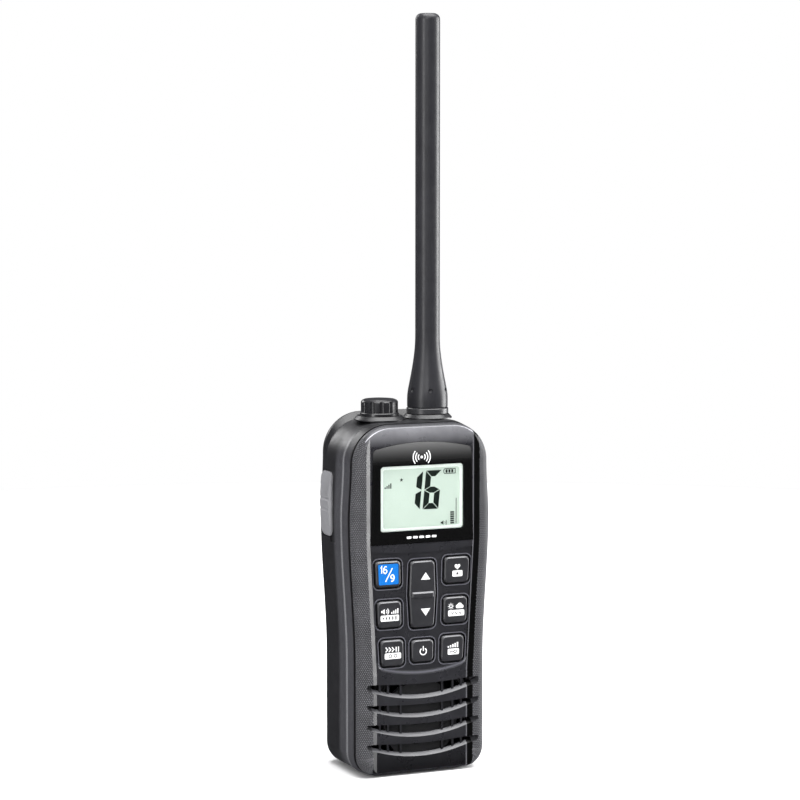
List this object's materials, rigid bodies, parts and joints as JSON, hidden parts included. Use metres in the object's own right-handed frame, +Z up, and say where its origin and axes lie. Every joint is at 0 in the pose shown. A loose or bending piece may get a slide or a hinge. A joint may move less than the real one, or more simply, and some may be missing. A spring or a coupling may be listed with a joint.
{
  "type": "handheld two-way radio",
  "caption": "Handheld two-way radio: keyed front with a display and grille, side talk button, screw-on whip antenna, clip-on battery pack with belt clip.",
  "frame": {"origin": "middle of the flat base that the radio stands on", "axes": "+Z up along the antenna, front face towards -Y, +X to the right seen from the front"},
  "size_m": [0.0616, 0.0479, 0.3012],
  "materials": {
    "housing": "satin moulded",
    "panel": "semi-gloss moulded",
    "grip": "fine dotted texture",
    "seal": "matt",
    "steel": "plated",
    "connector_metal": "plated",
    "lens": "gloss",
    "lcd_frame": "satin",
    "lcd": "satin",
    "diffuser": "satin",
    "screen": "woven",
    "cone": "pressed",
    "magnet": "plated",
    "board": "solder mask",
    "chassis": "die-cast",
    "switch": "matt",
    "gold": "gold plated",
    "ferrule": "polished",
    "antenna": "satin",
    "cap": "satin",
    "ptt": "satin, cross ribs",
    "cell": "sleeved",
    "clip": "satin",
    "key": "semi-gloss",
    "key_blue": "gloss"
  },
  "bodies": {
    "radio": {"front_case": "housing", "rear_case": "housing", "face_bezel": "panel", "grip_left": "grip", "grip_right": "grip", "case_gasket": "seal", "case_screws": "steel", "top_plate": "housing", "antenna_collar": "housing", "jack_collar": "housing", "antenna_connector": "connector_metal", "accessory_jack": "housing", "display_lens": "lens", "lcd_frame": "lcd_frame", "lcd_panel": "lcd", "backlight": "diffuser", "keypad_mat": "seal", "dome_switches": "steel", "speaker_screen": "screen", "speaker_frame": "steel", "speaker_cone": "cone", "speaker_magnet": "magnet", "microphone": "steel", "microphone_boot": "seal", "indicator_lamp": "diffuser", "main_board": "board", "shield_cans": "steel", "chassis": "chassis", "board_screws": "steel", "ptt_switch": "switch", "battery_pins": "gold"},
    "key_sixteen": {"key_sixteen": "key", "key_sixteen_insert": "key_blue"},
    "key_favourite": {"key_favourite": "key"},
    "key_volume": {"key_volume": "key"},
    "key_channel": {"key_channel": "key"},
    "key_scan": {"key_scan": "key"},
    "key_lock": {"key_lock": "key"},
    "key_power": {"key_power": "key"},
    "key_rocker": {"key_rocker": "key"},
    "ptt_button": {"ptt_button": "ptt"},
    "antenna_seal": {"antenna_seal": "seal"},
    "antenna": {"antenna_ferrule": "ferrule", "antenna_sheath": "antenna", "antenna_core": "connector_metal"},
    "jack_cap_seal": {"jack_cap_seal": "seal"},
    "jack_cap": {"jack_cap": "cap"},
    "battery_pack": {"pack_shell": "housing", "pack_cover": "housing", "pack_contacts": "gold", "pack_cells": "cell", "pack_board": "board", "clip_base": "clip", "clip_screws": "steel", "clip_pin": "steel", "clip_spring": "steel"},
    "pack_latch": {"pack_latch": "panel"},
    "clip_lever": {"clip_lever": "clip"}
  },
  "joints": [
    {"name": "key_sixteen_press", "type": "slide", "parent": "radio", "child": "key_sixteen", "axis": [0, 1, 0], "range_m": [0, 0.0008], "stiffness_N_per_m": 1500},
    {"name": "key_favourite_press", "type": "slide", "parent": "radio", "child": "key_favourite", "axis": [0, 1, 0], "range_m": [0, 0.0008], "stiffness_N_per_m": 1500},
    {"name": "key_volume_press", "type": "slide", "parent": "radio", "child": "key_volume", "axis": [0, 1, 0], "range_m": [0, 0.0008], "stiffness_N_per_m": 1500},
    {"name": "key_channel_press", "type": "slide", "parent": "radio", "child": "key_channel", "axis": [0, 1, 0], "range_m": [0, 0.0008], "stiffness_N_per_m": 1500},
    {"name": "key_scan_press", "type": "slide", "parent": "radio", "child": "key_scan", "axis": [0, 1, 0], "range_m": [0, 0.0008], "stiffness_N_per_m": 1500},
    {"name": "key_lock_press", "type": "slide", "parent": "radio", "child": "key_lock", "axis": [0, 1, 0], "range_m": [0, 0.0008], "stiffness_N_per_m": 1500},
    {"name": "key_power_press", "type": "slide", "parent": "radio", "child": "key_power", "axis": [0, 1, 0], "range_m": [0, 0.0008], "stiffness_N_per_m": 1500},
    {"name": "rocker_tilt", "type": "hinge", "parent": "radio", "child": "key_rocker", "pos_m": [0, -0.0153, 0.0724], "axis": [1, 0, 0], "range_deg": [-2, 2], "stiffness_Nm_per_rad": 0.35},
    {"name": "ptt_press", "type": "slide", "parent": "radio", "child": "ptt_button", "axis": [1, 0, 0], "range_m": [0, 0.001], "stiffness_N_per_m": 3000},
    {"name": "antenna_lift", "type": "slide", "parent": "radio", "child": "antenna_seal", "axis": [0, 0, 1], "range_m": [0, 0.0035]},
    {"name": "antenna_turn", "type": "hinge", "parent": "antenna_seal", "child": "antenna", "pos_m": [0.0101, -0.00025, 0.15], "axis": [0, 0, 1], "range_deg": [0, 1802]},
    {"name": "cap_lift", "type": "slide", "parent": "radio", "child": "jack_cap_seal", "axis": [0, 0, 1], "range_m": [0, 0.003]},
    {"name": "cap_turn", "type": "hinge", "parent": "jack_cap_seal", "child": "jack_cap", "pos_m": [-0.0108, -0.00025, 0.145], "axis": [0, 0, 1], "range_deg": [0, 1082]},
    {"name": "pack_release", "type": "slide", "parent": "radio", "child": "battery_pack", "axis": [0, 1, 0], "range_m": [0, 0.02]},
    {"name": "latch_slide", "type": "slide", "parent": "battery_pack", "child": "pack_latch", "axis": [0, 0, 1], "range_m": [0, 0.002], "stiffness_N_per_m": 600},
    {"name": "clip_open", "type": "hinge", "parent": "battery_pack", "child": "clip_lever", "pos_m": [0, 0.02375, 0.076], "axis": [-1, 0, 0], "range_deg": [-14, 0], "stiffness_Nm_per_rad": 0.12}
  ],
  "couplings": [
    {"joint": "antenna_turn", "follows": "antenna_lift", "rad_per_m": 8976},
    {"joint": "cap_turn", "follows": "cap_lift", "rad_per_m": 6283.2}
  ]
}
